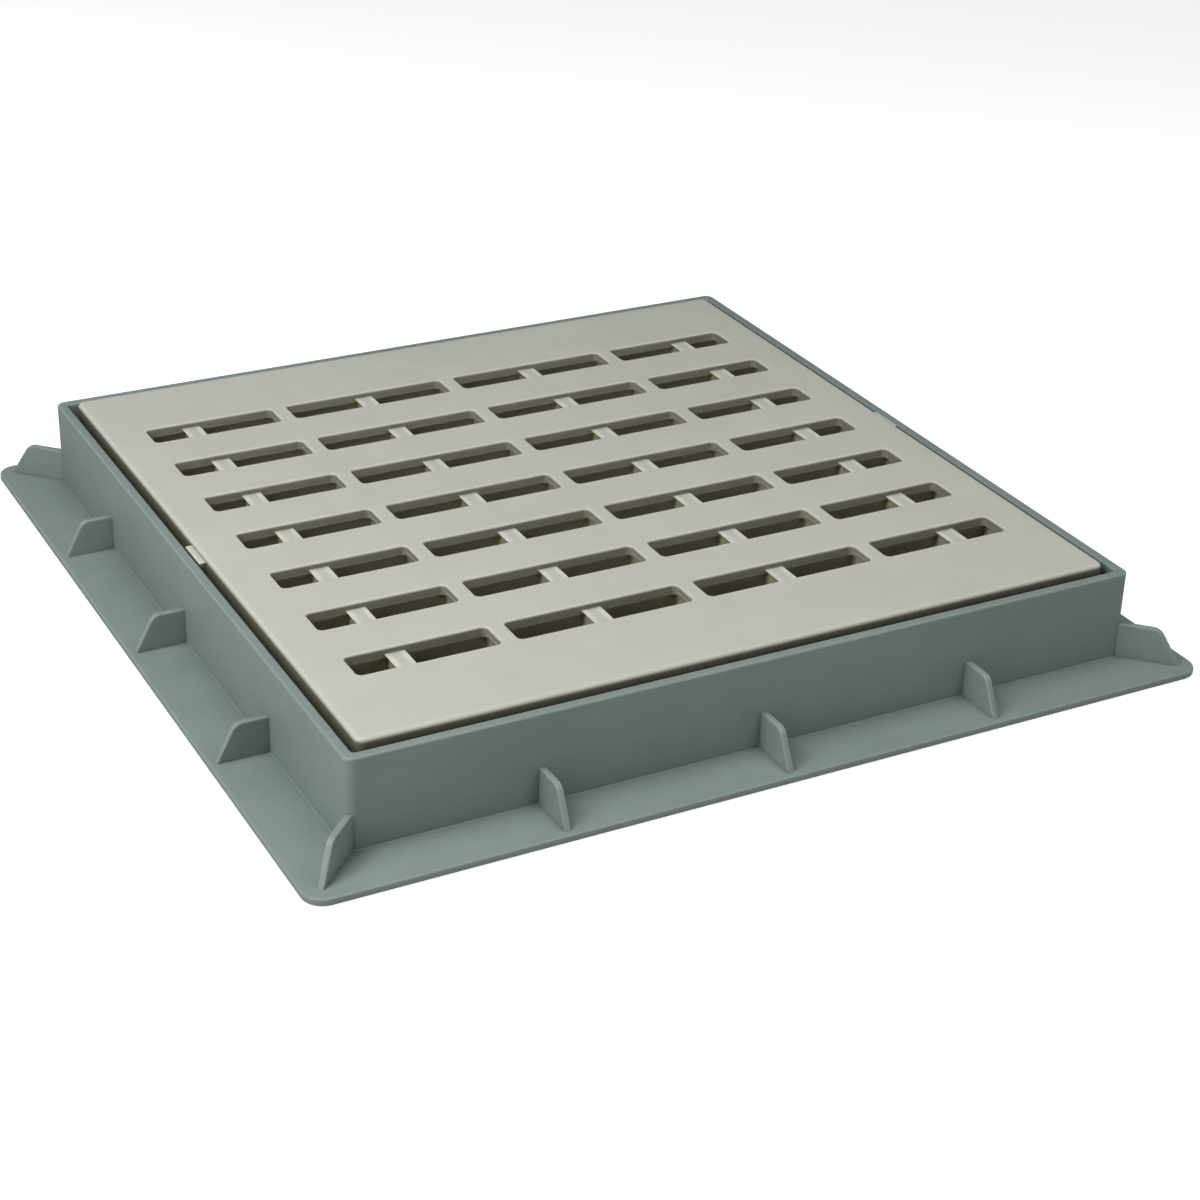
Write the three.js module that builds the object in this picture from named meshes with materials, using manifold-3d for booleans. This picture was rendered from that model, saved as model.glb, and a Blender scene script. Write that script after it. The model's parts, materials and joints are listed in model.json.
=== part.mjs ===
// A square drain cover for a yard or path: a slotted plastic grate that drops into a plastic frame.
//
// Millimetres, +Z up. The origin is on the bedding plane, at the centre of the frame. The slots run along X.
// The object is two mouldings. Each one is built here from its own regions: upright walls, bedding flange,
// seat, gussets and brackets for the frame, and deck, rim, cross ribs and centring lugs for the grate.

import * as THREE from "three";
import { mergeVertices } from "three/addons/utils/BufferGeometryUtils.js";
import Module from "manifold-3d";

const wasm = await Module();
wasm.setup();

// ---- driving dimensions: frame ----
const WALL_SPAN = 400; // across the outside of the upright walls
const WALL_THICKNESS = 5;
const WALL_CORNER_RADIUS = 4.5;
const FRAME_HEIGHT = 48;
const FLANGE_REACH = 28; // how far the bedding flange stands out from the walls
const FLANGE_THICKNESS = 3.5;
const FLANGE_CORNER_RADIUS = 10;
const SEAT_TOP = 22.5; // height of the ledge that carries the grate
const SEAT_THICKNESS = 4;
const SEAT_WIDTH = 13;
const BRACKET_REACH = 11; // brackets under the seat
const BRACKET_FOOT = 5.5;

// ---- driving dimensions: gussets between the walls and the flange ----
const GUSSET_THICKNESS = 3.25;
const SIDE_GUSSET = { top: 21.5, knee: 15.5, foot: 25 }; // the knee ends the level top edge, out from the wall
const CORNER_GUSSET = { top: 21, knee: 19.5, foot: 30.5 };
const GUSSET_SPACING = 110;
const GUSSET_STATIONS = [-1, 0, 1]; // in steps of the spacing, along each side
const CORNER_CLEARANCE = 0.05; // a corner gusset's flat end stands just off the rounded corner

// ---- driving dimensions: grate ----
const SIDE_GAP = 3.75; // between the grate and the wall, all round
const DECK_PROUD = 2.5; // the deck stands above the top of the frame
const DECK_THICKNESS = 5;
const GRATE_CORNER_RADIUS = 4;
const RIM_THICKNESS = 4;
const SLOT_ROWS = 7;
const ROW_PITCH = 44.25;
const SLOT_WIDTH = 17.25;
const SLOT_END = 169.75; // from the centre line to the far end of the outermost slots
const SLOT_CORNER_RADIUS = 2.5;
const RIB_COUNT = 7;
const RIB_PITCH = 48.5;
const RIB_TOP_WIDTH = 10.5; // the head of a rib, which crosses the slots and slopes back to its stem
const RIB_STEM_WIDTH = 4.5; // the stem under the head, at the underside of the deck
const RIB_FOOT_WIDTH = 3.5;
const RIB_RECESS = 2.75; // the ribs cross the slots this far below the deck
const RIB_BOTTOM = 27.5;
const BRIDGE_WIDTH = 8.5; // flush bridges between slots, over every second rib
const WEB_THICKNESS = 3; // shallow webs under the deck, along the slots and behind their ends
const WEB_SETBACK = 3;
const WEB_DEPTH = 8;
const LUG_LENGTH = 20; // centring lugs, on the sides that face the ends of the slots
const LUG_SIDES = ["left", "right"];
const LUG_REACH = 3.25;
const LUG_BOTTOM = 30;
const LUG_DROP = 2; // from the deck down to the top of a lug

// ---- derived dimensions ----
const WALL_OUTER = WALL_SPAN / 2;
const WALL_INNER = WALL_OUTER - WALL_THICKNESS;
const FLANGE_OUTER = WALL_OUTER + FLANGE_REACH;
const SEAT_INNER = WALL_INNER - SEAT_WIDTH;
const GRATE_OUTER = WALL_INNER - SIDE_GAP;
const RIM_INNER = GRATE_OUTER - RIM_THICKNESS;
const DECK_TOP = FRAME_HEIGHT + DECK_PROUD;
const DECK_BOTTOM = DECK_TOP - DECK_THICKNESS;
const RIB_LEVEL = DECK_TOP - RIB_RECESS;
const WEB_BOTTOM = DECK_BOTTOM - WEB_DEPTH;
const HALF_SLOT = SLOT_WIDTH / 2;
const ROUND_STEPS = 3; // straight steps in each quarter round

// ---- materials ----
const greyPlastic = new THREE.MeshStandardMaterial({ color: 0x78847f, roughness: 0.55, metalness: 0 });
const stonePlastic = new THREE.MeshStandardMaterial({ color: 0xc6c4b8, roughness: 0.6, metalness: 0 });

// ---- solids ----
function toSolid(geometry) {
  const bare = geometry.clone();
  bare.deleteAttribute("normal");
  bare.deleteAttribute("uv");
  const merged = mergeVertices(bare);
  const mesh = new wasm.Mesh({
    numProp: 3,
    vertProperties: merged.attributes.position.array,
    triVerts: new Uint32Array(merged.index.array),
  });
  return new wasm.Manifold(mesh);
}

function toGeometry(solid) {
  const mesh = solid.getMesh();
  const geometry = new THREE.BufferGeometry();
  geometry.setAttribute("position", new THREE.BufferAttribute(new Float32Array(mesh.vertProperties), 3));
  geometry.setIndex(new THREE.BufferAttribute(new Uint32Array(mesh.triVerts), 1));
  geometry.computeVertexNormals();
  return geometry;
}

function prism(outline, bottom, top) {
  const geometry = new THREE.ExtrudeGeometry(outline, {
    depth: top - bottom,
    bevelEnabled: false,
    curveSegments: ROUND_STEPS,
  });
  return geometry.translate(0, 0, bottom);
}

function boxBetween(low, high) {
  const size = high.map((value, axis) => value - low[axis]);
  const centre = high.map((value, axis) => (value + low[axis]) / 2);
  return new THREE.BoxGeometry(...size).translate(...centre);
}

function roundedRectangle(path, left, right, front, back, radius) {
  path.moveTo(left + radius, front);
  path.lineTo(right - radius, front);
  path.absarc(right - radius, front + radius, radius, -Math.PI / 2, 0, false);
  path.lineTo(right, back - radius);
  path.absarc(right - radius, back - radius, radius, 0, Math.PI / 2, false);
  path.lineTo(left + radius, back);
  path.absarc(left + radius, back - radius, radius, Math.PI / 2, Math.PI, false);
  path.lineTo(left, front + radius);
  path.absarc(left + radius, front + radius, radius, Math.PI, 1.5 * Math.PI, false);
  return path;
}

function addPiece(parent, name, geometry, material) {
  const mesh = new THREE.Mesh(geometry, material);
  mesh.name = name;
  parent.add(mesh);
  return mesh;
}

// ---- pieces that repeat on the four sides ----
// A side is drawn at the front and turned to its place. It covers one corner and stops at the next side's
// face, so the four lengths close into a square ring.
const SIDES = ["front", "right", "back", "left"];

function sideGroup(parent, index) {
  const group = new THREE.Group();
  group.rotation.z = (index * Math.PI) / 2;
  parent.add(group);
  return group;
}

function sideLength(outer, inner, cornerRadius, bottom, top) {
  const outline = new THREE.Shape();
  outline.moveTo(-outer, -inner);
  if (cornerRadius > 0) {
    outline.lineTo(-outer, -outer + cornerRadius);
    outline.absarc(-outer + cornerRadius, -outer + cornerRadius, cornerRadius, Math.PI, 1.5 * Math.PI, false);
  } else {
    outline.lineTo(-outer, -outer);
  }
  outline.lineTo(inner, -outer);
  outline.lineTo(inner, -inner);
  outline.closePath();
  return prism(outline, bottom, top);
}

// An upright plate whose outline is drawn outwards from a wall (first value) and upwards (second value).
function uprightPlate(points, thickness) {
  const outline = new THREE.Shape(points.map(([out, up]) => new THREE.Vector2(out, up)));
  const geometry = new THREE.ExtrudeGeometry(outline, { depth: thickness, bevelEnabled: false });
  return geometry.translate(0, 0, -thickness / 2).rotateX(Math.PI / 2).rotateZ(-Math.PI / 2);
}

// ---- frame ----
function gussetPlate({ top, knee, foot }) {
  const outline = [
    [0, FLANGE_THICKNESS],
    [foot, FLANGE_THICKNESS],
    [knee, top],
    [0, top],
  ];
  return uprightPlate(outline, GUSSET_THICKNESS);
}

const sideGusset = gussetPlate(SIDE_GUSSET);
const cornerGusset = gussetPlate(CORNER_GUSSET);

const bracketPlate = uprightPlate(
  [
    [0, BRACKET_FOOT],
    [0, SEAT_TOP - SEAT_THICKNESS],
    [-BRACKET_REACH, SEAT_TOP - SEAT_THICKNESS],
  ],
  GUSSET_THICKNESS,
);

function buildFrame() {
  const frame = new THREE.Group();
  const flange = sideLength(FLANGE_OUTER, WALL_INNER, FLANGE_CORNER_RADIUS, 0, FLANGE_THICKNESS);
  const wall = sideLength(WALL_OUTER, WALL_INNER, WALL_CORNER_RADIUS, FLANGE_THICKNESS, FRAME_HEIGHT);
  const seat = sideLength(WALL_INNER, SEAT_INNER, 0, SEAT_TOP - SEAT_THICKNESS, SEAT_TOP);
  const cornerCentre = (WALL_OUTER - WALL_CORNER_RADIUS) * Math.SQRT2;
  const cornerFace = cornerCentre + WALL_CORNER_RADIUS + CORNER_CLEARANCE;
  const cornerNames = ["front_right", "back_right", "back_left", "front_left"];

  SIDES.forEach((side, index) => {
    const group = sideGroup(frame, index);
    addPiece(group, `flange_${side}`, flange, greyPlastic);
    addPiece(group, `wall_${side}`, wall, greyPlastic);
    addPiece(group, `seat_${side}`, seat, greyPlastic);
    GUSSET_STATIONS.forEach((station, place) => {
      const along = station * GUSSET_SPACING;
      const gusset = addPiece(group, `gusset_${side}_${place + 1}`, sideGusset, greyPlastic);
      gusset.position.set(along, -WALL_OUTER, 0);
      const bracket = addPiece(group, `seat_bracket_${side}_${place + 1}`, bracketPlate, greyPlastic);
      bracket.position.set(along, -WALL_INNER, 0);
    });

    const diagonal = new THREE.Group();
    diagonal.rotation.z = Math.PI / 4;
    group.add(diagonal);
    const gusset = addPiece(diagonal, `gusset_corner_${cornerNames[index]}`, cornerGusset, greyPlastic);
    gusset.position.y = -cornerFace;
  });
  return frame;
}

// ---- grate ----
const rowCentres = Array.from({ length: SLOT_ROWS }, (_, row) => (row - (SLOT_ROWS - 1) / 2) * ROW_PITCH);
const ribCentres = Array.from({ length: RIB_COUNT }, (_, rib) => (rib - (RIB_COUNT - 1) / 2) * RIB_PITCH);
const bridgeCentres = ribCentres.filter((_, rib) => rib % 2 === 1);

// Where the slots of one row start and end, between the flush bridges.
const slotStarts = [-SLOT_END, ...bridgeCentres.map((centre) => centre + BRIDGE_WIDTH / 2)];
const slotEnds = [...bridgeCentres.map((centre) => centre - BRIDGE_WIDTH / 2), SLOT_END];
const slotSpans = slotStarts.map((start, index) => [start, slotEnds[index]]);

function slottedPlate() {
  const outline = new THREE.Shape();
  roundedRectangle(outline, -GRATE_OUTER, GRATE_OUTER, -GRATE_OUTER, GRATE_OUTER, GRATE_CORNER_RADIUS);
  for (const y of rowCentres) {
    for (const [start, end] of slotSpans) {
      const slot = new THREE.Path();
      roundedRectangle(slot, start, end, y - HALF_SLOT, y + HALF_SLOT, SLOT_CORNER_RADIUS);
      outline.holes.push(slot);
    }
  }
  return toSolid(prism(outline, DECK_BOTTOM, DECK_TOP));
}

// The two webs of each row stand back from the edges of its slots.
const webSpans = rowCentres.flatMap((y) => [
  [y - HALF_SLOT - WEB_SETBACK - WEB_THICKNESS, y - HALF_SLOT - WEB_SETBACK],
  [y + HALF_SLOT + WEB_SETBACK, y + HALF_SLOT + WEB_SETBACK + WEB_THICKNESS],
]);

// A bar along Y whose section narrows evenly from its top to its foot.
function taperedBar(topWidth, top, footWidth, foot, halfLength) {
  const section = new THREE.Shape([
    new THREE.Vector2(-footWidth / 2, foot),
    new THREE.Vector2(footWidth / 2, foot),
    new THREE.Vector2(topWidth / 2, top),
    new THREE.Vector2(-topWidth / 2, top),
  ]);
  const bar = new THREE.ExtrudeGeometry(section, { depth: 2 * halfLength, bevelEnabled: false });
  return toSolid(bar.rotateX(Math.PI / 2).translate(0, halfLength, 0));
}

function buildDeck() {
  let deck = slottedPlate();
  const slotsReach = rowCentres.at(-1) + HALF_SLOT + WEB_SETBACK;
  const ribHead = taperedBar(RIB_TOP_WIDTH, RIB_LEVEL, RIB_STEM_WIDTH, DECK_BOTTOM, slotsReach);
  for (const x of ribCentres) {
    deck = deck.add(ribHead.translate(x, 0, 0));
  }
  for (const [front, back] of webSpans) {
    const web = boxBetween([-RIM_INNER, front, WEB_BOTTOM], [RIM_INNER, back, DECK_BOTTOM]);
    deck = deck.add(toSolid(web));
  }
  for (const side of [-1, 1]) {
    const near = side * (SLOT_END + WEB_SETBACK);
    const far = side * (SLOT_END + WEB_SETBACK + WEB_THICKNESS);
    const low = [Math.min(near, far), webSpans[0][0], WEB_BOTTOM];
    const high = [Math.max(near, far), webSpans.at(-1)[1], DECK_BOTTOM];
    deck = deck.add(toSolid(boxBetween(low, high)));
  }
  return toGeometry(deck);
}

// The stem of a cross rib tapers downwards and is notched where the webs pass. Its head is part of the deck.
function buildCrossRib() {
  let rib = taperedBar(RIB_STEM_WIDTH, DECK_BOTTOM, RIB_FOOT_WIDTH, RIB_BOTTOM, RIM_INNER);
  for (const [front, back] of webSpans) {
    const notch = boxBetween([-RIB_TOP_WIDTH, front, WEB_BOTTOM], [RIB_TOP_WIDTH, back, DECK_TOP]);
    rib = rib.subtract(toSolid(notch));
  }
  return toGeometry(rib);
}

function buildGrate() {
  const grate = new THREE.Group();
  addPiece(grate, "grate_deck", buildDeck(), stonePlastic);

  const crossRib = buildCrossRib();
  ribCentres.forEach((x, index) => {
    addPiece(grate, `cross_rib_${index + 1}`, crossRib, stonePlastic).position.x = x;
  });

  const rim = sideLength(GRATE_OUTER, RIM_INNER, GRATE_CORNER_RADIUS, SEAT_TOP, DECK_BOTTOM);
  const lug = boxBetween(
    [-LUG_LENGTH / 2, -GRATE_OUTER - LUG_REACH, LUG_BOTTOM],
    [LUG_LENGTH / 2, -GRATE_OUTER, DECK_TOP - LUG_DROP],
  );
  SIDES.forEach((side, index) => {
    const group = sideGroup(grate, index);
    addPiece(group, `grate_rim_${side}`, rim, stonePlastic);
    if (LUG_SIDES.includes(side)) {
      addPiece(group, `centring_lug_${side}`, lug, stonePlastic);
    }
  });
  return grate;
}

const drainCover = new THREE.Group();
drainCover.add(buildFrame());
drainCover.add(buildGrate());

export default drainCover;
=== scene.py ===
"""A square drain cover: a slotted plastic grate that sits in a flanged plastic frame.

Metres, +Z up, the origin on the bedding plane at the centre of the frame, the slots along X.
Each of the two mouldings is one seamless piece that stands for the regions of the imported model.
"""

import json
import math

import bmesh
import bpy
from mathutils import Matrix, Vector


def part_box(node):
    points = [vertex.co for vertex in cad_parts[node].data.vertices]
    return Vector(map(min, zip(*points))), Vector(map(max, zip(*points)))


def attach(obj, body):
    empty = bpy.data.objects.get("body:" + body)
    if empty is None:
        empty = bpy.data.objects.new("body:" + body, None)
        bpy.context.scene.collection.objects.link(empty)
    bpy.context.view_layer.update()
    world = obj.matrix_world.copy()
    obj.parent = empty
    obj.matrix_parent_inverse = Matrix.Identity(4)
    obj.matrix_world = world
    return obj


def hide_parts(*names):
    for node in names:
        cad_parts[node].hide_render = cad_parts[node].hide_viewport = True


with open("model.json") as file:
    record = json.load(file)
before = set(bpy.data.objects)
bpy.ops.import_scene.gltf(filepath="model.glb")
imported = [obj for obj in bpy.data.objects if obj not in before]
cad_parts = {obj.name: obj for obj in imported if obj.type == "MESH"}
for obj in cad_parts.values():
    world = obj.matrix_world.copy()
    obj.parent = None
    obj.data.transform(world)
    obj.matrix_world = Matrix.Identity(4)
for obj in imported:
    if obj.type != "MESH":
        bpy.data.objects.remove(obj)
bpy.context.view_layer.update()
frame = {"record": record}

bl_info = {
    "name": "Square drain cover",
    "version": (1, 0, 0),
    "blender": (4, 5, 0),
    "location": "View3D > Sidebar > Drain cover",
    "description": "Builds the frame, the grate and the stage of a square drain cover",
    "category": "Object",
}

Y, Z = 1, 2  # places of two axes in a point
SIDES = ("front", "right", "back", "left")
CORNERS = ("front_right", "back_right", "back_left", "front_left")
PLACES = (1, 2, 3)
ROW_COUNT = 7
RIB_COUNT = 7
FRAME_NODES = [
    *(f"{kind}_{side}" for kind in ("wall", "flange", "seat") for side in SIDES),
    *(f"gusset_{side}_{place}" for side in SIDES for place in PLACES),
    *(f"seat_bracket_{side}_{place}" for side in SIDES for place in PLACES),
    *(f"gusset_corner_{corner}" for corner in CORNERS),
]
GRATE_NODES = [
    "grate_deck",
    *(f"cross_rib_{rib + 1}" for rib in range(RIB_COUNT)),
    *(f"grate_rim_{side}" for side in SIDES),
    "centring_lug_left",
    "centring_lug_right",
]

# Segments in a quarter round: corners seen in plan, edges of the walls and deck, and small edges.
PLAN_STEPS = 10
EDGE_STEPS = 4
FINE_STEPS = 3
SINK = 0.0015  # how far a rib, web, gusset or lug is let into the body that carries it
END_WEB_SINK = 0.0012  # less than SINK, so that no top of an end web is level with a long web's
SAME = 1e-6  # lengths closer than this are taken as equal
LEVEL_STEP = 0.05  # keeps the loops of a ring at different heights while they are bridged
SEAT_ROUND_SHARE = 0.6  # the seat's roundings, as a share of the walls' top edges
SMOOTH_ANGLE = math.radians(40)
CORNER_ANGLE = math.radians(60)  # an edge is a corner where its faces turn by more than this
KNEE_ANGLE = math.radians(10)  # the same for the knee of a gusset, which turns less

wall_low, wall_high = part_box("wall_front")
flange_low, flange_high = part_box("flange_front")
seat_low, seat_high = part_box("seat_front")
gusset_low, gusset_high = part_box("gusset_front_3")
corner_gusset_low, corner_gusset_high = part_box("gusset_corner_front_right")
bracket_low, bracket_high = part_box("seat_bracket_front_3")
deck_low, deck_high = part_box("grate_deck")
rim_low, rim_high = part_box("grate_rim_front")
rib_low, rib_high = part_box("cross_rib_7")
lug_low, lug_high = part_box("centring_lug_right")


def slot_colour(slot):
    """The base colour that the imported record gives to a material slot."""
    found = [m for m in frame["record"]["materials"] if m["slot"] == slot]
    return tuple(found[0]["base_color"][:3])


def middle_x(low, high):
    return (low.x + high.x) / 2


def centred(count, pitch):
    """Places along a line, one pitch apart, with the middle one at zero."""
    return [(index - (count - 1) / 2) * pitch for index in range(count)]


# ---- settings ----
def length(name, description, default):
    return bpy.props.FloatProperty(
        name=name, description=description, default=default, min=0.0, precision=5, unit="LENGTH"
    )


def colour(name, description, default):
    return bpy.props.FloatVectorProperty(
        name=name, description=description, default=default, size=3, min=0.0, max=1.0, subtype="COLOR"
    )


def share(name, description, default):
    return bpy.props.FloatProperty(
        name=name, description=description, default=default, min=0.0, max=1.0, subtype="FACTOR"
    )


class FrameSettings(bpy.types.PropertyGroup):
    """Sizes and finish of the frame moulding"""

    flange_half: length("Flange half width", "From the centre to the edge of the flange", -flange_low.y)
    flange_corner: length("Flange corner", "Corner radius of the flange", 0.01)
    flange_top: length("Flange thickness", "Thickness of the flange", flange_high.z)
    wall_half: length("Wall half width", "From the centre to the outside of a wall", -wall_low.y)
    wall_inside: length("Wall inside", "From the centre to the inside of a wall", -wall_high.y)
    wall_corner: length("Wall corner", "Outer corner radius of the walls", 0.0045)
    inside_corner: length("Inside corner", "Inner corner radius of the walls and seat", 0.002)
    wall_top: length("Height", "Height of the frame", wall_high.z)
    seat_inside: length("Seat inside", "From the centre to the inner edge of the seat", -seat_high.y)
    seat_top: length("Seat height", "Height of the seat's top", seat_high.z)
    seat_bottom: length("Seat underside", "Height of the seat's underside", seat_low.z)
    foot_fillet: length("Foot fillet", "Fillet between the walls and the flange", 0.0006)
    edge_round: length("Edge rounding", "Rounding of the top edges of the walls", 0.001)
    flange_round: length("Flange rounding", "Rounding of the edges of the flange", 0.0008)
    gusset_thickness: length("Gusset thickness", "Thickness of a gusset", gusset_high.x - gusset_low.x)
    gusset_top: length("Gusset height", "Height of a gusset's level edge", gusset_high.z)
    corner_gusset_top: length(
        "Corner gusset height", "Height of a corner gusset's level edge", corner_gusset_high.z
    )
    corner_gusset_foot: length("Corner gusset foot", "Reach of a corner gusset at the flange", 0.0305)
    corner_gusset_knee: length("Corner gusset knee", "Reach of a corner gusset's level edge", 0.0195)
    gusset_foot: length("Gusset foot", "Reach of a gusset at the flange", gusset_high.y - gusset_low.y)
    gusset_knee: length("Gusset knee", "Reach of a gusset's level edge", 0.0155)
    gusset_spacing: length(
        "Gusset spacing", "Between the middles of two gussets", middle_x(gusset_low, gusset_high)
    )
    knee_round: length("Knee rounding", "Rounding of a gusset where its edge turns down", 0.003)
    gusset_round: length("Gusset rounding", "Rounding of the long edges of a gusset", 0.0007)
    bracket_reach: length(
        "Bracket reach", "Reach of a bracket under the seat", bracket_high.y - bracket_low.y
    )
    bracket_foot: length("Bracket foot", "Height of a bracket's foot", bracket_low.z)
    plastic: colour("Plastic", "Colour of the frame", slot_colour("frame_plastic"))
    roughness: share("Roughness", "Roughness of the frame's plastic", 0.5)


class GrateSettings(bpy.types.PropertyGroup):
    """Sizes and finish of the grate moulding"""

    deck_half: length("Deck half width", "From the centre to the edge of the deck", -rim_low.y)
    deck_corner: length("Deck corner", "Corner radius of the deck", 0.004)
    deck_top: length("Deck height", "Height of the deck's top", deck_high.z)
    deck_bottom: length("Deck underside", "Height of the deck's underside", rim_high.z)
    rim_inside: length("Rim inside", "From the centre to the inside of the rim", -rim_high.y)
    rim_bottom: length("Rim foot", "Height of the rim's foot", rim_low.z)
    row_pitch: length("Row pitch", "Between the middles of two rows of slots", 0.04425)
    slot_width: length("Slot width", "Width of a slot", 0.01725)
    slot_end: length("Slot end", "From the centre to the far end of a row", 0.16975)
    slot_corner: length("Slot corner", "Corner radius of a slot", 0.0025)
    bridge_width: length("Bridge width", "Width of a flush bridge", 0.0085)
    rib_top: length("Rib height", "Height of the ribs in the slots", 0.04775)
    rib_bottom: length("Rib foot", "Height of the ribs' foot", rib_low.z)
    rib_width: length("Rib width", "Width of a rib's head", 0.0105)
    stem_width: length("Stem width", "Width of a rib's stem under its head", 0.0045)
    stem_foot_width: length("Stem foot width", "Width of a rib's stem at its foot", 0.0035)
    rib_pitch: length("Rib pitch", "Between the middles of two ribs", middle_x(rib_low, rib_high) / 3)
    web_bottom: length("Web foot", "Height of the webs' foot", deck_low.z)
    web_thickness: length("Web thickness", "Thickness of the webs", 0.003)
    web_setback: length("Web setback", "From the edge of a slot back to its web", 0.003)
    lug_reach: length("Lug reach", "Reach of a centring lug", lug_high.x - lug_low.x)
    lug_length: length("Lug length", "Length of a centring lug", lug_high.y - lug_low.y)
    lug_top: length("Lug top", "Height of a lug's top", lug_high.z)
    lug_bottom: length("Lug foot", "Height of a lug's foot", lug_low.z)
    edge_round: length("Edge rounding", "Rounding of the deck's outer edge", 0.0022)
    slot_round: length("Slot rounding", "Rounding of the edges of the slots", 0.0018)
    rib_round: length("Rib rounding", "Rounding of the edges of ribs, webs and lugs", 0.0007)
    plastic: colour("Plastic", "Colour of the grate", slot_colour("grate_plastic"))
    roughness: share("Roughness", "Roughness of the grate's plastic", 0.55)


class StageSettings(bpy.types.PropertyGroup):
    """Floor, light and camera"""

    floor_half: length("Floor half width", "From the centre to the edge of the floor", 6.0)
    floor_colour: colour("Floor", "Colour of the floor", (0.5, 0.5, 0.5))
    air_colour: colour("Surroundings", "Colour of the light from all round", (1.0, 1.0, 1.0))
    air_strength: share("Surroundings strength", "Strength of the light from all round", 0.06)
    backdrop_strength: share("Backdrop strength", "Brightness of the backdrop as the camera sees it", 0.78)
    floor_lift: share("Floor lift", "Brightness added to the floor as the camera sees it", 0.75)
    lens: bpy.props.FloatProperty(
        name="Lens", description="Focal length of the camera", default=74.73, min=1.0, unit="CAMERA"
    )
    camera_place: bpy.props.FloatVectorProperty(
        name="Camera place",
        description="Where the camera stands",
        default=(-0.5216, -1.00534, 0.57936),
        unit="LENGTH",
    )
    camera_turn: bpy.props.FloatVectorProperty(
        name="Camera turn",
        description="How the camera is turned",
        default=(math.radians(62.189), math.radians(-1.551), math.radians(-27.652)),
        subtype="EULER",
    )


# ---- shapes ----
def rounded_square(half, radius, height, with_face=False):
    """A square in plan with rounded corners, as a loop of edges or as one face."""
    bm = bmesh.new()
    place = Matrix.Translation((0, 0, height))
    bmesh.ops.create_grid(bm, x_segments=1, y_segments=1, size=half, matrix=place)
    bmesh.ops.bevel(
        bm,
        geom=bm.verts[:],
        offset=radius,
        offset_type="OFFSET",
        segments=PLAN_STEPS,
        profile=0.5,
        affect="VERTICES",
        material=-1,
    )
    if not with_face:
        bmesh.ops.delete(bm, geom=bm.faces[:], context="FACES_ONLY")
    return bm


def add_copy(target, source):
    """Adds one bmesh to another, frees it, and gives back the new edges."""
    known = len(target.edges)
    mesh = bpy.data.meshes.new("part")
    source.to_mesh(mesh)
    source.free()
    target.from_mesh(mesh)
    bpy.data.meshes.remove(mesh)
    target.edges.ensure_lookup_table()
    return target.edges[known:]


def round_edges(bm, edges, offset, segments):
    bmesh.ops.bevel(
        bm,
        geom=edges,
        offset=offset,
        offset_type="OFFSET",
        segments=segments,
        profile=0.5,
        affect="EDGES",
        clamp_overlap=True,
        material=-1,
    )


def sharp_edges(bm, wanted=None, least=CORNER_ANGLE):
    """The edges where two faces meet at a corner and that the test accepts."""
    corners = [e for e in bm.edges if len(e.link_faces) == 2 and e.calc_face_angle() > least]
    return [e for e in corners if wanted is None or wanted(e)]


def spans(edge, axis):
    """Whether an edge's ends lie apart along an axis."""
    start, end = edge.verts
    return abs(start.co[axis] - end.co[axis]) > SAME


def off_centre(point):
    """How far a point is from the middle in plan, along X or Y, whichever is further."""
    return max(abs(point.x), abs(point.y))


def lies_at(edge, axis, value):
    """Whether both ends of an edge have one coordinate."""
    return all(abs(v.co[axis] - value) < SAME for v in edge.verts)


def section_ring(sections):
    """A closed square ring. A section is (half width, corner radius, height, rounding, segments)."""
    bm = bmesh.new()
    rings = []
    for level, (half, radius, _, _, _) in enumerate(sections):
        rings.append(add_copy(bm, rounded_square(half, radius, level * LEVEL_STEP)))
    for ring, following in zip(rings, rings[1:] + rings[:1]):
        bmesh.ops.bridge_loops(bm, edges=ring + following)
    for level, (ring, (_, _, height, _, _)) in enumerate(zip(rings, sections)):
        lifted = list({v for edge in ring for v in edge.verts})
        bmesh.ops.translate(bm, verts=lifted, vec=(0, 0, height - level * LEVEL_STEP))
    bmesh.ops.recalc_face_normals(bm, faces=bm.faces[:])
    for ring, (_, _, _, rounding, segments) in zip(rings, sections):
        if rounding:
            round_edges(bm, ring, rounding, segments)
    return bm


def prism(outline, direction):
    """A closed solid: an outline pushed along a direction."""
    bm = bmesh.new()
    face = bm.faces.new([bm.verts.new(point) for point in outline])
    pushed = bmesh.ops.extrude_face_region(bm, geom=[face])
    moved = [v for v in pushed["geom"] if isinstance(v, bmesh.types.BMVert)]
    bmesh.ops.translate(bm, verts=moved, vec=direction)
    bmesh.ops.recalc_face_normals(bm, faces=bm.faces[:])
    return bm


def block(low, high, rounding=0.0):
    """A box between two corners, with all its edges rounded where a rounding is given."""
    bottom = low[2]
    outline = [
        (low[0], low[1], bottom),
        (high[0], low[1], bottom),
        (high[0], high[1], bottom),
        (low[0], high[1], bottom),
    ]
    bm = prism(outline, (0, 0, high[2] - bottom))
    if rounding:
        round_edges(bm, bm.edges[:], rounding, FINE_STEPS)
    return bm


def turn(bm, angle, place):
    """Moves a side's piece to its place at the front, then turns it about the centre."""
    bmesh.ops.translate(bm, verts=bm.verts[:], vec=place)
    bmesh.ops.rotate(bm, verts=bm.verts[:], cent=(0, 0, 0), matrix=Matrix.Rotation(angle, 3, "Z"))
    return bm


def to_object(bm, name):
    mesh = bpy.data.meshes.new(name)
    bm.to_mesh(mesh)
    bm.free()
    made = bpy.data.objects.new(name, mesh)
    bpy.context.scene.collection.objects.link(made)
    return made


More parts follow.
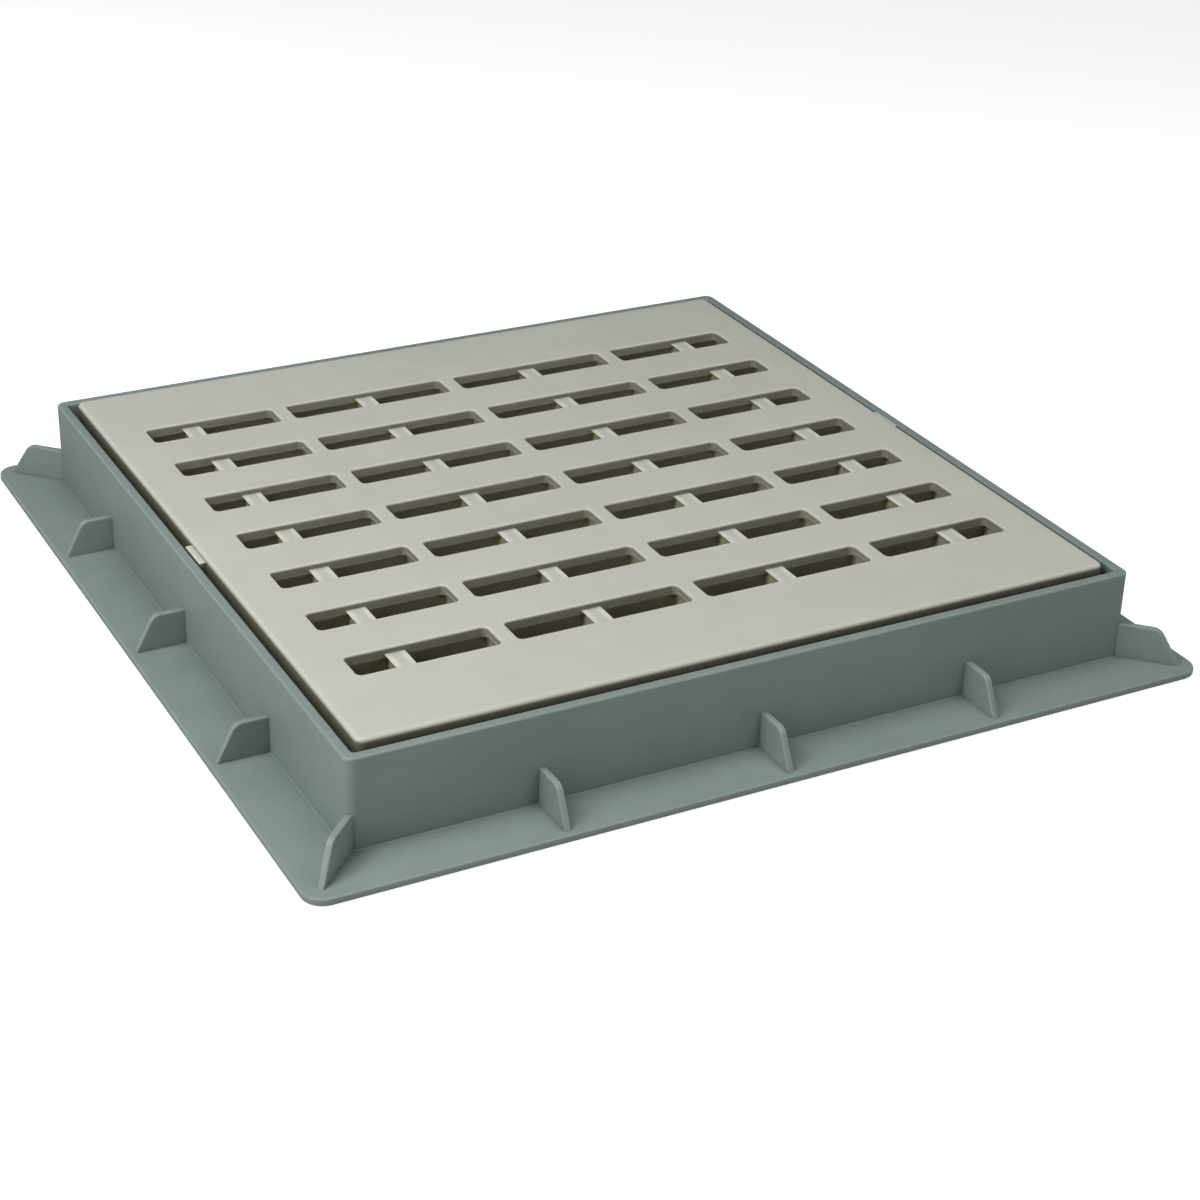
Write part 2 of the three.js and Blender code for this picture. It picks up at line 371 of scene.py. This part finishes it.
def fuse(body, *additions):
    """Joins solids to a body, so that the moulding is one closed skin."""
    for addition in additions:
        joint = body.modifiers.new("fuse", "BOOLEAN")
        joint.operation = "UNION"
        joint.solver = "MANIFOLD"
        joint.object = addition
        shaped = body.evaluated_get(bpy.context.evaluated_depsgraph_get())
        mesh = bpy.data.meshes.new_from_object(shaped)
        body.modifiers.clear()
        old, body.data = body.data, mesh
        bpy.data.meshes.remove(old)
        bpy.data.meshes.remove(addition.data)
    body.data.name = body.name


def finish_piece(piece, material, body, nodes):
    """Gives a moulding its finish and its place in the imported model."""
    mesh = piece.data
    bm = bmesh.new()
    bm.from_mesh(mesh)
    bmesh.ops.remove_doubles(bm, verts=bm.verts[:], dist=SAME)
    bmesh.ops.dissolve_degenerate(bm, edges=bm.edges[:], dist=SAME)
    bmesh.ops.recalc_face_normals(bm, faces=bm.faces[:])
    bm.to_mesh(mesh)
    bm.free()
    if not mesh.polygons:
        raise RuntimeError(f"{piece.name} has no faces")
    mesh.shade_smooth()
    mesh.set_sharp_from_angle(angle=SMOOTH_ANGLE)
    weighted = piece.modifiers.new("even_shading", "WEIGHTED_NORMAL")
    weighted.keep_sharp = True
    weighted.weight = 100
    mesh.materials.clear()
    mesh.materials.append(material)
    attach(piece, body)
    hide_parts(*nodes)


# ---- finishes ----
# Scales of the patterns, in waves to the metre.
CLOUD_SCALE = 14.0
STREAK_SCALES = (26.0, 26.0, 70.0)
SPECK_SCALE = 420.0
PATCH_SCALE = 160.0
GLOSS_SCALE = 55.0
GRAIN_SCALE = 1100.0
PEEL_SCALE = 170.0
WAVE_SCALE = 20.0
# Heights of the relief, in metres.
GRAIN_HEIGHT = 0.00006
PEEL_HEIGHT = 0.00011
WAVE_HEIGHT = 0.0006
# How far an edge, a corner and a gap are felt, in metres.
WORN_AND_LIT_REACH = 0.0022
CORNER_REACH = 0.006
GAP_REACH = 0.06
OPENNESS_SAMPLES = 8
PLASTIC_IOR = 1.49
FIRST_COLOUR, SECOND_COLOUR, MIXED_COLOUR = 6, 7, 2  # the colour sockets of a Mix node


class Nodes:
    """A small helper that adds nodes to one material and links them."""

    def __init__(self, name):
        self.material = bpy.data.materials.new(name)
        self.material.use_nodes = True
        self.tree = self.material.node_tree
        self.shader = self.tree.nodes["Principled BSDF"]
        coordinates = self.tree.nodes.new("ShaderNodeTexCoord")
        self.place = coordinates.outputs["Object"]

    def add(self, kind, settings=None, **inputs):
        node = self.tree.nodes.new(kind)
        for key, value in (settings or {}).items():
            setattr(node, key, value)
        for key, value in inputs.items():
            self.put(node.inputs[key.replace("_", " ")], value)
        return node

    def put(self, socket, value):
        if isinstance(value, bpy.types.NodeSocket):
            self.tree.links.new(value, socket)
        else:
            socket.default_value = value

    def noise(self, scale, detail=2.0, roughness=0.5, place=None):
        node = self.add("ShaderNodeTexNoise", Scale=scale, Detail=detail, Roughness=roughness)
        self.put(node.inputs["Vector"], place or self.place)
        return node.outputs["Fac"]

    def stretched(self, scale):
        node = self.add("ShaderNodeMapping", Vector=self.place, Scale=scale)
        return node.outputs["Vector"]

    def ranged(self, value, from_low, from_high, to_low, to_high):
        node = self.add("ShaderNodeMapRange")
        for index, part in enumerate((value, from_low, from_high, to_low, to_high)):
            self.put(node.inputs[index], part)
        return node.outputs["Result"]

    def calculate(self, operation, first, second=0.0):
        node = self.add("ShaderNodeMath", {"operation": operation})
        self.put(node.inputs[0], first)
        self.put(node.inputs[1], second)
        return node.outputs["Value"]

    def openness(self, distance, inside=False):
        """How open a place is, from 0 in a deep gap to 1 on a free face. Inside, edges score low."""
        settings = {"inside": inside, "samples": OPENNESS_SAMPLES}
        return self.add("ShaderNodeAmbientOcclusion", settings, Distance=distance).outputs["AO"]

    def blend(self, factor, first, second):
        node = self.add("ShaderNodeMix", {"data_type": "RGBA"})
        self.put(node.inputs["Factor"], factor)
        self.put(node.inputs[FIRST_COLOUR], first)
        self.put(node.inputs[SECOND_COLOUR], second)
        return node.outputs[MIXED_COLOUR]


def tint(colour, factor, warmth=0.0):
    """A colour made lighter or darker, and warmer or cooler."""
    red, green, blue = (min(1.0, part * factor) for part in colour)
    return (min(1.0, red * (1 + warmth / 3)), green, blue * (1 - warmth), 1.0)


def clouded(n, colour, mottle):
    """The plastic's colour with wide clouds, long faint streaks and fine specks."""
    cloudy = n.ranged(n.noise(CLOUD_SCALE, 4.0, 0.6), 0.35, 0.65, 0.0, 1.0)
    base = n.blend(cloudy, tint(colour, 1 - mottle, -0.008), tint(colour, 1 + mottle, 0.008))
    streaked = n.ranged(n.noise(1.0, 3.0, 0.55, n.stretched(STREAK_SCALES)), 0.3, 0.7, 0.0, 0.4)
    base = n.blend(streaked, base, tint(colour, 1 - 2 * mottle, -0.015))
    specked = n.ranged(n.noise(SPECK_SCALE, 3.0, 0.65), 0.25, 0.75, 0.0, 0.3)
    return n.blend(specked, base, tint(colour, 1 + 2.2 * mottle, 0.015))


def worn_and_highlit_edges(n, edge_wear_and_highlight):
    """How far each place is lightened: edges only, and in patches. This is partly rubbed wear and partly a
    painted highlight on the rounded edges.
    """
    # Painted highlight and wear: edges, found by the inside openness, are made paler.
    wear_and_highlight = n.ranged(n.openness(WORN_AND_LIT_REACH, inside=True), 0.9, 0.6, 0.0, edge_wear_and_highlight)
    patchy = n.ranged(n.noise(PATCH_SCALE, 3.0, 0.6), 0.35, 0.6, 0.5, 1.0)
    return n.calculate("MULTIPLY", wear_and_highlight, patchy)


def painted_gap_shade(n, base, colour, amount, under_half):
    """Painted shade: darker in deep gaps. Under the deck, within half a width, the most enclosed places
    turn to a warmer tone a little darker than the plastic.
    """
    openness = n.openness(GAP_REACH)
    # Painted shade: deep gaps are darkened strongly.
    gap_shaded = n.ranged(openness, 0.88, 0.5, 0.0, amount)
    base = n.blend(gap_shaded, base, tint(colour, 0.17, 0.22))
    parts = n.add("ShaderNodeSeparateXYZ", Vector=n.place).outputs
    out_x = n.calculate("ABSOLUTE", parts["X"])
    out_y = n.calculate("ABSOLUTE", parts["Y"])
    under_deck = n.calculate("LESS_THAN", n.calculate("MAXIMUM", out_x, out_y), under_half)
    # Under the deck, the most enclosed places turn to a warmer tone a little darker than the plastic.
    warm_under_deck = n.calculate("MULTIPLY", n.ranged(openness, 0.5, 0.2, 0.0, 1.0), under_deck)
    return n.blend(warm_under_deck, base, tint(colour, 0.85, 0.26))


def relief(n):
    """Fine grain, the soft peel of a moulded face, and a slow wave, as a bump."""
    height = n.calculate(
        "ADD",
        n.ranged(n.noise(GRAIN_SCALE, 2.0, 0.6), 0.0, 1.0, 0.0, GRAIN_HEIGHT),
        n.ranged(n.noise(PEEL_SCALE, 2.0, 0.5), 0.0, 1.0, 0.0, PEEL_HEIGHT),
    )
    wave = n.ranged(n.noise(WAVE_SCALE, 1.0, 0.4), 0.0, 1.0, 0.0, WAVE_HEIGHT)
    height = n.calculate("ADD", height, wave)
    return n.add("ShaderNodeBump", Height=height, Strength=1.0, Distance=1.0).outputs["Normal"]


def moulded_plastic(name, colour, roughness, mottle, edge_wear_and_highlight, corner_shade, gap_shade=0.0, under_half=0.0):
    """Moulded plastic: cloudy colour, grain, paler edges that are partly rubbed wear and partly a painted
    highlight, and painted shade in corners and gaps.
    """
    n = Nodes(name)
    wear_and_highlight = worn_and_highlit_edges(n, edge_wear_and_highlight)
    base = n.blend(wear_and_highlight, clouded(n, colour, mottle), tint(colour, 1.35))
    # Painted shade: corners and other closed places are darkened.
    corner_shaded = n.ranged(n.openness(CORNER_REACH), 0.75, 0.3, 0.0, corner_shade)
    base = n.blend(corner_shaded, base, tint(colour, 0.4, 0.05))
    if gap_shade:
        base = painted_gap_shade(n, base, colour, gap_shade, under_half)
    n.put(n.shader.inputs["Base Color"], base)

    gloss = n.ranged(n.noise(GLOSS_SCALE, 4.0, 0.6), 0.3, 0.7, roughness - 0.06, roughness + 0.08)
    gloss = n.calculate("ADD", gloss, n.ranged(wear_and_highlight, 0.0, 1.0, 0.0, -0.08))
    n.put(n.shader.inputs["Roughness"], gloss)
    n.put(n.shader.inputs["Normal"], relief(n))
    n.shader.inputs["IOR"].default_value = PLASTIC_IOR
    return n.material


# ---- pieces ----
class DRAINCOVER_OT_frame_moulding(bpy.types.Operator):
    """Build the frame: walls, bedding flange, seat, gussets and seat brackets in one moulding"""

    bl_idname = "drain_cover.frame_moulding"
    bl_label = "Frame moulding"

    def execute(self, context):
        s = context.scene.drain_frame
        small = s.edge_round * SEAT_ROUND_SHARE
        ring = section_ring(
            [
                (s.flange_half, s.flange_corner, 0.0, s.flange_round, FINE_STEPS),
                (s.flange_half, s.flange_corner, s.flange_top, s.flange_round, FINE_STEPS),
                (s.wall_half, s.wall_corner, s.flange_top, s.foot_fillet, EDGE_STEPS),
                (s.wall_half, s.wall_corner, s.wall_top, s.edge_round, EDGE_STEPS),
                (s.wall_inside, s.inside_corner, s.wall_top, s.edge_round, EDGE_STEPS),
                (s.wall_inside, s.inside_corner, s.seat_top, small, FINE_STEPS),
                (s.seat_inside, s.inside_corner, s.seat_top, small, FINE_STEPS),
                (s.seat_inside, s.inside_corner, s.seat_bottom, small, FINE_STEPS),
                (s.wall_inside, s.inside_corner, s.seat_bottom, small, FINE_STEPS),
                (s.wall_inside, s.inside_corner, 0.0, small, FINE_STEPS),
            ]
        )
        body = to_object(ring, "frame_moulding")

        gussets = bmesh.new()
        brackets = bmesh.new()
        corner_reach = (s.wall_half - s.wall_corner) * math.sqrt(2) + s.wall_corner
        for index in range(len(SIDES)):
            angle = index * math.pi / 2
            for along in centred(len(PLACES), s.gusset_spacing):
                side_gusset = self.gusset(s, s.gusset_top, s.gusset_knee, s.gusset_foot)
                add_copy(gussets, turn(side_gusset, angle, (along, -s.wall_half, 0)))
                add_copy(brackets, turn(self.bracket(s), angle, (along, -s.wall_inside, 0)))
            corner = self.gusset(s, s.corner_gusset_top, s.corner_gusset_knee, s.corner_gusset_foot)
            add_copy(gussets, turn(corner, angle + math.pi / 4, (0, -corner_reach, 0)))
        fuse(body, to_object(gussets, "gussets"), to_object(brackets, "brackets"))

        # Frame: paler edges are part wear, part painted highlight; corners get painted shade.
        plastic = moulded_plastic(
            "frame_plastic", s.plastic, s.roughness, mottle=0.06, edge_wear_and_highlight=0.55, corner_shade=0.5
        )
        finish_piece(body, plastic, "frame", FRAME_NODES)
        return {"FINISHED"}

    def gusset(self, s, top, knee_reach, foot_reach):
        """A gusset drawn outwards from the wall, along -Y, and let into the wall and the flange."""
        slope = (foot_reach - knee_reach) / (top - s.flange_top)
        x = -s.gusset_thickness / 2
        foot = s.flange_top - SINK
        outline = [
            (x, SINK, foot),
            (x, -foot_reach - slope * SINK, foot),
            (x, -knee_reach, top),
            (x, SINK, top),
        ]
        bm = prism(outline, (s.gusset_thickness, 0, 0))
        knee = sharp_edges(
            bm, lambda e: lies_at(e, Y, -knee_reach) and lies_at(e, Z, top), KNEE_ANGLE
        )
        round_edges(bm, knee, s.knee_round, EDGE_STEPS)
        free = sharp_edges(bm, lambda e: not lies_at(e, Z, foot) and not lies_at(e, Y, SINK))
        round_edges(bm, free, s.gusset_round, FINE_STEPS)
        return bm

    def bracket(self, s):
        """A bracket drawn inwards from the wall, along +Y, and let into the wall and the seat."""
        rise = (s.seat_bottom - s.bracket_foot) / s.bracket_reach
        x = -s.gusset_thickness / 2
        top = s.seat_bottom + SINK
        outline = [
            (x, -SINK, s.bracket_foot - rise * SINK),
            (x, s.bracket_reach + SINK / rise, top),
            (x, -SINK, top),
        ]
        bm = prism(outline, (s.gusset_thickness, 0, 0))
        free = sharp_edges(bm, lambda e: spans(e, Y) and spans(e, Z))
        round_edges(bm, free, s.gusset_round, FINE_STEPS)
        return bm


class DRAINCOVER_OT_grate_moulding(bpy.types.Operator):
    """Build the grate: slotted deck, rim, cross ribs, webs and centring lugs in one moulding"""

    bl_idname = "drain_cover.grate_moulding"
    bl_label = "Grate moulding"

    def execute(self, context):
        s = context.scene.drain_grate
        rows = centred(ROW_COUNT, s.row_pitch)
        ribs = centred(RIB_COUNT, s.rib_pitch)
        bridges = ribs[1::2]
        starts = [-s.slot_end, *(x + s.bridge_width / 2 for x in bridges)]
        ends = [*(x - s.bridge_width / 2 for x in bridges), s.slot_end]
        body = to_object(self.deck(s, rows, starts, ends), "grate_moulding")
        fuse(
            body,
            to_object(self.cross_ribs(s, ribs), "ribs"),
            to_object(self.long_webs(s, rows), "long_webs"),
            to_object(self.end_webs(s, rows), "end_webs"),
            to_object(self.lugs(s), "lugs"),
        )
        # Grate: paler edges are part wear, part painted highlight; corners and deep gaps get painted
        # shade.
        plastic = moulded_plastic(
            "grate_plastic",
            s.plastic,
            s.roughness,
            mottle=0.03,
            edge_wear_and_highlight=0.8,
            corner_shade=0.6,
            gap_shade=0.9,
            under_half=s.rim_inside,
        )
        finish_piece(body, plastic, "grate", GRATE_NODES)
        return {"FINISHED"}

    def deck(self, s, rows, starts, ends):
        """The slotted plate with its rim, cut from one rounded square."""
        bm = rounded_square(s.deck_half, s.deck_corner, s.deck_top, with_face=True)
        half_slot = s.slot_width / 2
        slot_sides = [y + side * half_slot for y in rows for side in (-1, 1)]
        x_cuts = sorted({*starts, *ends, -s.rim_inside, s.rim_inside})
        y_cuts = sorted({*slot_sides, -s.rim_inside, s.rim_inside})
        cuts = [((x, 0, 0), (1, 0, 0)) for x in x_cuts] + [((0, y, 0), (0, 1, 0)) for y in y_cuts]
        for point, normal in cuts:
            everything = bm.verts[:] + bm.edges[:] + bm.faces[:]
            bmesh.ops.bisect_plane(bm, geom=everything, dist=SAME, plane_co=point, plane_no=normal)

        def in_slot(face):
            middle = face.calc_center_bounds()
            in_row = any(abs(middle.y - y) < half_slot - SAME for y in rows)
            return in_row and any(start < middle.x < end for start, end in zip(starts, ends))

        bmesh.ops.delete(bm, geom=[f for f in bm.faces if in_slot(f)], context="FACES")
        self.push_down(bm, bm.faces[:], s.deck_bottom - s.deck_top, closed=False)
        bmesh.ops.recalc_face_normals(bm, faces=bm.faces[:])
        underside = [f for f in bm.faces if f.normal.z < -0.5]
        border = [f for f in underside if off_centre(f.calc_center_bounds()) > s.rim_inside]
        self.push_down(bm, border, s.rim_bottom - s.deck_bottom, closed=True)
        bmesh.ops.recalc_face_normals(bm, faces=bm.faces[:])

        def within_slots(edge):
            return all(off_centre(v.co) < s.slot_end + SAME for v in edge.verts)

        upright = sharp_edges(bm, lambda e: within_slots(e) and spans(e, Z))
        round_edges(bm, upright, s.slot_corner, EDGE_STEPS)
        at_top = sharp_edges(bm, lambda e: lies_at(e, Z, s.deck_top))
        slot_rims = [e for e in at_top if within_slots(e)]
        outer_rim = [e for e in at_top if not within_slots(e)]
        round_edges(bm, slot_rims, s.slot_round, FINE_STEPS)
        round_edges(bm, [e for e in outer_rim if e.is_valid], s.edge_round, EDGE_STEPS)
        at_foot = sharp_edges(bm, lambda e: lies_at(e, Z, s.rim_bottom))
        round_edges(bm, at_foot, s.rib_round, FINE_STEPS)
        return bm

    def push_down(self, bm, faces, drop, closed):
        """Pushes faces down. On a closed skin the faces that stay behind would be inside, so they go."""
        pushed = bmesh.ops.extrude_face_region(bm, geom=faces)
        moved = [v for v in pushed["geom"] if isinstance(v, bmesh.types.BMVert)]
        bmesh.ops.translate(bm, verts=moved, vec=(0, 0, drop))
        if closed:
            bmesh.ops.delete(bm, geom=[f for f in faces if f.is_valid], context="FACES")

    def cross_ribs(self, s, ribs):
        """Bars along Y, let into the rim: a flat head slopes back to a stem, which tapers downwards."""
        reach = s.rim_inside + SINK
        head, stem, foot = s.rib_width / 2, s.stem_width / 2, s.stem_foot_width / 2
        half_section = [(foot, s.rib_bottom), (stem, s.deck_bottom), (head, s.rib_top)]
        bars = bmesh.new()
        for x in ribs:
            outline = [(x + out, -reach, up) for out, up in half_section]
            outline += [(x - out, -reach, up) for out, up in reversed(half_section)]
            bar = prism(outline, (0, 2 * reach, 0))
            along = sharp_edges(bar, lambda e: spans(e, Y))
            round_edges(bar, along, s.rib_round, FINE_STEPS)
            add_copy(bars, bar)
        return bars

    def long_webs(self, s, rows):
        """Shallow webs along X, set back from the edges of the slots."""
        reach = s.rim_inside + SINK
        webs = bmesh.new()
        for y in rows:
            for side in (-1, 1):
                near = y + side * (s.slot_width / 2 + s.web_setback)
                far = near + side * s.web_thickness
                low = (-reach, min(near, far), s.web_bottom)
                high = (reach, max(near, far), s.deck_bottom + SINK)
                add_copy(webs, block(low, high))
        return webs

    def end_webs(self, s, rows):
        """Webs along Y behind the ends of the rows."""
        reach = rows[-1] + s.slot_width / 2 + s.web_setback + s.web_thickness / 2
        webs = bmesh.new()
        for side in (-1, 1):
            near = side * (s.slot_end + s.web_setback)
            far = side * (s.slot_end + s.web_setback + s.web_thickness)
            low = (min(near, far), -reach, s.web_bottom + SAME)
            high = (max(near, far), reach, s.deck_bottom + END_WEB_SINK)
            add_copy(webs, block(low, high))
        return webs

    def lugs(self, s):
        """Centring lugs on the two sides that face the ends of the slots."""
        lugs = bmesh.new()
        for side in (-1, 1):
            near = side * (s.deck_half - 2 * SINK)
            far = side * (s.deck_half + s.lug_reach)
            low = (min(near, far), -s.lug_length / 2, s.lug_bottom)
            high = (max(near, far), s.lug_length / 2, s.lug_top)
            add_copy(lugs, block(low, high, s.rib_round))
        return lugs


# ---- stage ----
# Each light is (name, place, power). All are soft disks of one size, turned to the cover.
LIGHTS = (
    ("side_light", (-0.72, -0.22, 0.98), 7.9),
    ("low_side_light", (-1.0, -0.3, 0.5), 4.1),
    ("top_light", (0.0, 0.0, 1.3), 4.7),
    ("far_side_light", (0.5, -0.5, 1.0), 2.34),
    ("low_front_light", (0.1, -1.15, 0.45), 2.0),
    ("low_back_light", (-0.35, 1.15, 0.3), 1.6),
    ("low_far_light", (1.2, -0.25, 0.3), 1.6),
)
LIGHT_SIZE = 0.6
LIGHT_AIM = Vector((0.0, 0.0, 0.03))
FLOOR_DROP = 0.0002  # keeps the floor just clear of the bedding face
PAPER_SCALE = 3.0
PAPER_ROUGHNESS = 0.9
SENSOR_WIDTH = 36.0  # millimetres
BLACK = (0.0, 0.0, 0.0, 1.0)
WHITE = (1.0, 1.0, 1.0, 1.0)


class DRAINCOVER_OT_stage(bpy.types.Operator):
    """Set the floor, the soft light and the camera"""

    bl_idname = "drain_cover.stage"
    bl_label = "Stage"

    def execute(self, context):
        s = context.scene.drain_stage
        self.floor(s)
        self.surroundings(context, s)
        for name, place, power in LIGHTS:
            self.soft_light(name, place, power)
        self.camera(context, s)
        context.scene.view_settings.view_transform = "Standard"
        return {"FINISHED"}

    def floor(self, s):
        bm = bmesh.new()
        below = Matrix.Translation((0, 0, -FLOOR_DROP))
        bmesh.ops.create_grid(bm, x_segments=1, y_segments=1, size=s.floor_half, matrix=below)
        floor = to_object(bm, "floor")
        n = Nodes("floor_paper")
        paper = n.ranged(n.noise(PAPER_SCALE), 0.3, 0.7, 0.98, 1.0)
        base = n.blend(paper, BLACK, (*s.floor_colour, 1.0))
        n.put(n.shader.inputs["Base Color"], base)
        n.shader.inputs["Roughness"].default_value = PAPER_ROUGHNESS
        n.shader.inputs["Emission Color"].default_value = WHITE
        seen = n.add("ShaderNodeLightPath").outputs["Is Camera Ray"]
        n.put(n.shader.inputs["Emission Strength"], n.calculate("MULTIPLY", seen, s.floor_lift))
        floor.data.materials.append(n.material)

    def surroundings(self, context, s):
        """A dim even light all round, and a bright backdrop that only the camera sees."""
        world = bpy.data.worlds.new("soft_room")
        world.use_nodes = True
        tree = world.node_tree
        background = tree.nodes["Background"]
        background.inputs["Color"].default_value = (*s.air_colour, 1.0)
        seen = tree.nodes.new("ShaderNodeLightPath").outputs["Is Camera Ray"]
        strength = tree.nodes.new("ShaderNodeMapRange")
        strength.inputs["To Min"].default_value = s.air_strength
        strength.inputs["To Max"].default_value = s.backdrop_strength
        tree.links.new(seen, strength.inputs["Value"])
        tree.links.new(strength.outputs["Result"], background.inputs["Strength"])
        context.scene.world = world

    def soft_light(self, name, place, power):
        lamp = bpy.data.lights.new(name, "AREA")
        lamp.shape = "DISK"
        lamp.size = LIGHT_SIZE
        lamp.energy = power
        holder = bpy.data.objects.new(name, lamp)
        holder.location = place
        holder.rotation_euler = (LIGHT_AIM - Vector(place)).to_track_quat("-Z", "Y").to_euler()
        bpy.context.scene.collection.objects.link(holder)

    def camera(self, context, s):
        camera = bpy.data.cameras.new("camera")
        camera.sensor_width = SENSOR_WIDTH
        camera.lens = s.lens
        holder = bpy.data.objects.new("camera", camera)
        holder.location = s.camera_place
        holder.rotation_euler = s.camera_turn
        context.scene.collection.objects.link(holder)
        context.scene.camera = holder


class DRAINCOVER_PT_panel(bpy.types.Panel):
    """Buttons and settings of the drain cover"""

    bl_idname = "DRAINCOVER_PT_panel"
    bl_label = "Drain cover"
    bl_space_type = "VIEW_3D"
    bl_region_type = "UI"
    bl_category = "Drain cover"

    def draw(self, context):
        for operator, settings in STEPS:
            box = self.layout.box()
            box.operator(operator.bl_idname)
            held = getattr(context.scene, settings)
            for key in held.__annotations__:
                box.prop(held, key)


SETTINGS = {
    "drain_frame": FrameSettings,
    "drain_grate": GrateSettings,
    "drain_stage": StageSettings,
}
STEPS = (
    (DRAINCOVER_OT_frame_moulding, "drain_frame"),
    (DRAINCOVER_OT_grate_moulding, "drain_grate"),
    (DRAINCOVER_OT_stage, "drain_stage"),
)
CLASSES = (*SETTINGS.values(), *(operator for operator, _ in STEPS), DRAINCOVER_PT_panel)


def register():
    for each in CLASSES:
        bpy.utils.register_class(each)
    for key, group in SETTINGS.items():
        setattr(bpy.types.Scene, key, bpy.props.PointerProperty(type=group))


def unregister():
    for key in SETTINGS:
        delattr(bpy.types.Scene, key)
    for each in reversed(CLASSES):
        bpy.utils.unregister_class(each)


def main():
    register()
    for operator, _ in STEPS:
        section, action = operator.bl_idname.split(".")
        getattr(getattr(bpy.ops, section), action)()


if __name__ == "__main__":
    main()
